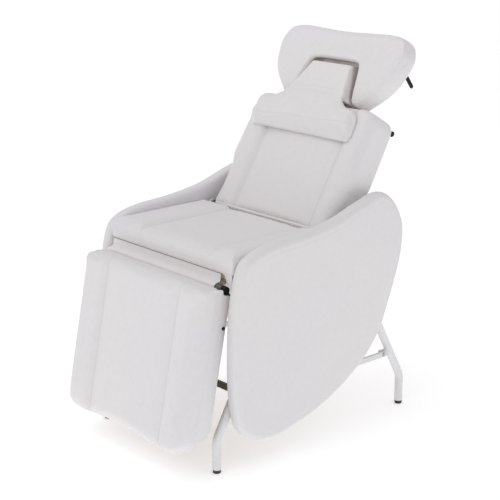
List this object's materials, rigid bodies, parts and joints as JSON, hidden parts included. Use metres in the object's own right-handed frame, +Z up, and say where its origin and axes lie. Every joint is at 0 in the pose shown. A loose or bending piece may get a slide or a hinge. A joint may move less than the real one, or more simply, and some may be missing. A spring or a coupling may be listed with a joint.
{
  "type": "pedicure spa chair",
  "caption": "White upholstered pedicure chair on bent tube legs, with round side panels, a reclining backrest that raises the footrest, and a winged headrest with a T-shaped neck pillow.",
  "frame": {"origin": "on the floor, under the middle of the chair's overall box", "axes": "+Z up, -Y the way the sitter faces, X across the width; +X is the sitter's left"},
  "size_m": [0.684, 1.077, 1.2348],
  "materials": {
    "white_vinyl": "soft satin vinyl with a fine grain",
    "white_paint": "gloss white powder coat",
    "dark_steel": "dark satin steel",
    "black_plastic": "moulded satin black",
    "black_rubber": "matte",
    "chrome": "polished",
    "zinc": "zinc plated",
    "board": "raw plywood"
  },
  "bodies": {
    "base": {"seat_cross_front": "white_paint", "seat_cross_rear": "white_paint", "seat_board": "board", "seat_cushion": "white_vinyl", "front_apron": "white_vinyl", "lower_front_bar": "dark_steel", "footrest_axle": "white_paint", "stay_sleeve": "dark_steel", "leg_brace_left": "white_paint", "leg_brace_right": "white_paint", "seat_rail_left": "white_paint", "seat_rail_right": "white_paint", "axle_cap_left": "black_plastic", "axle_cap_right": "black_plastic", "side_panel_pad_left": "white_vinyl", "side_panel_pad_right": "white_vinyl", "side_panel_board_left": "board", "side_panel_board_right": "board", "leg_front_left": "white_paint", "leg_front_right": "white_paint", "leg_rear_left": "white_paint", "leg_rear_right": "white_paint", "glide_front_left": "black_rubber", "glide_front_right": "black_rubber", "glide_rear_left": "black_rubber", "glide_rear_right": "black_rubber", "brace_bolt_front_left": "zinc", "brace_bolt_front_right": "zinc", "brace_bolt_rear_left": "zinc", "brace_bolt_rear_right": "zinc"},
    "backrest": {"back_cushion": "white_vinyl", "back_board": "board", "back_cross_tube": "white_paint", "back_shaft": "zinc", "back_tube_left": "white_paint", "back_tube_right": "white_paint", "back_arm_left": "dark_steel", "back_arm_right": "dark_steel"},
    "stay_bar": {"stay_bar": "zinc"},
    "link_left": {"sync_link_left": "dark_steel"},
    "link_right": {"sync_link_right": "dark_steel"},
    "footrest": {"footrest_cushion": "white_vinyl", "footrest_board": "board", "footrest_cross_tube": "dark_steel", "footrest_tube_left": "dark_steel", "footrest_tube_right": "dark_steel", "footrest_bolt_left": "black_plastic", "footrest_bolt_right": "black_plastic", "footrest_hinge_left": "dark_steel", "footrest_hinge_right": "dark_steel"},
    "head_posts": {"head_post_left": "chrome", "head_post_right": "chrome", "head_crossbar": "chrome"},
    "headrest": {"head_cushion": "white_vinyl", "head_board": "board", "head_bracket": "dark_steel"},
    "head_lever": {"head_lever": "black_plastic"},
    "knob_left": {"clamp_knob_left": "black_plastic"},
    "knob_right": {"clamp_knob_right": "black_plastic"},
    "neck_pillow": {"neck_pillow": "white_vinyl"}
  },
  "joints": [
    {"name": "recline", "type": "hinge", "parent": "base", "child": "backrest", "pos_m": [0, 0.0796, 0.651], "axis": [-1, 0, 0], "range_deg": [0, 59]},
    {"name": "footrest_raise", "type": "hinge", "parent": "base", "child": "footrest", "pos_m": [0, -0.3379, 0.565], "axis": [-1, 0, 0], "range_deg": [0, 73.75]},
    {"name": "stay_slide", "type": "slide", "parent": "base", "child": "stay_bar", "axis": [0, -1, 0], "range_m": [0, 0.11301]},
    {"name": "link_left_turn", "type": "hinge", "parent": "backrest", "child": "link_left", "pos_m": [0, 0.14608, 0.5335], "axis": [-1, 0, 0], "range_deg": [-59, 0]},
    {"name": "link_right_turn", "type": "hinge", "parent": "backrest", "child": "link_right", "pos_m": [0, 0.14608, 0.5335], "axis": [-1, 0, 0], "range_deg": [-59, 0]},
    {"name": "headrest_height", "type": "slide", "parent": "backrest", "child": "head_posts", "axis": [0, 0.515, 0.8572], "range_m": [0, 0.08]},
    {"name": "headrest_tilt", "type": "hinge", "parent": "head_posts", "child": "headrest", "pos_m": [0, 0.49397, 1.109], "axis": [-1, 0, 0], "range_deg": [0, 40]},
    {"name": "head_lever_pull", "type": "hinge", "parent": "head_posts", "child": "head_lever", "pos_m": [0.198, 0.49397, 1.109], "axis": [-1, 0, 0], "range_deg": [0, 20], "stiffness_Nm_per_rad": 0.5},
    {"name": "knob_left_turn", "type": "hinge", "parent": "backrest", "child": "knob_left", "pos_m": [-0.24, 0.3853, 0.92814], "axis": [-1, 0, 0], "continuous": true},
    {"name": "knob_right_turn", "type": "hinge", "parent": "backrest", "child": "knob_right", "pos_m": [0.24, 0.3853, 0.92814], "axis": [1, 0, 0], "continuous": true},
    {"name": "neck_pillow_lift", "type": "slide", "parent": "headrest", "child": "neck_pillow", "axis": [0, -0.8572, 0.515], "range_m": [0, 0.1]}
  ],
  "couplings": [
    {"joint": "footrest_raise", "follows": "recline", "ratio": 1.25},
    {"joint": "stay_slide", "follows": "recline", "m_per_rad": 0.10974},
    {"joint": "link_left_turn", "follows": "recline", "ratio": -1},
    {"joint": "link_right_turn", "follows": "recline", "ratio": -1}
  ]
}
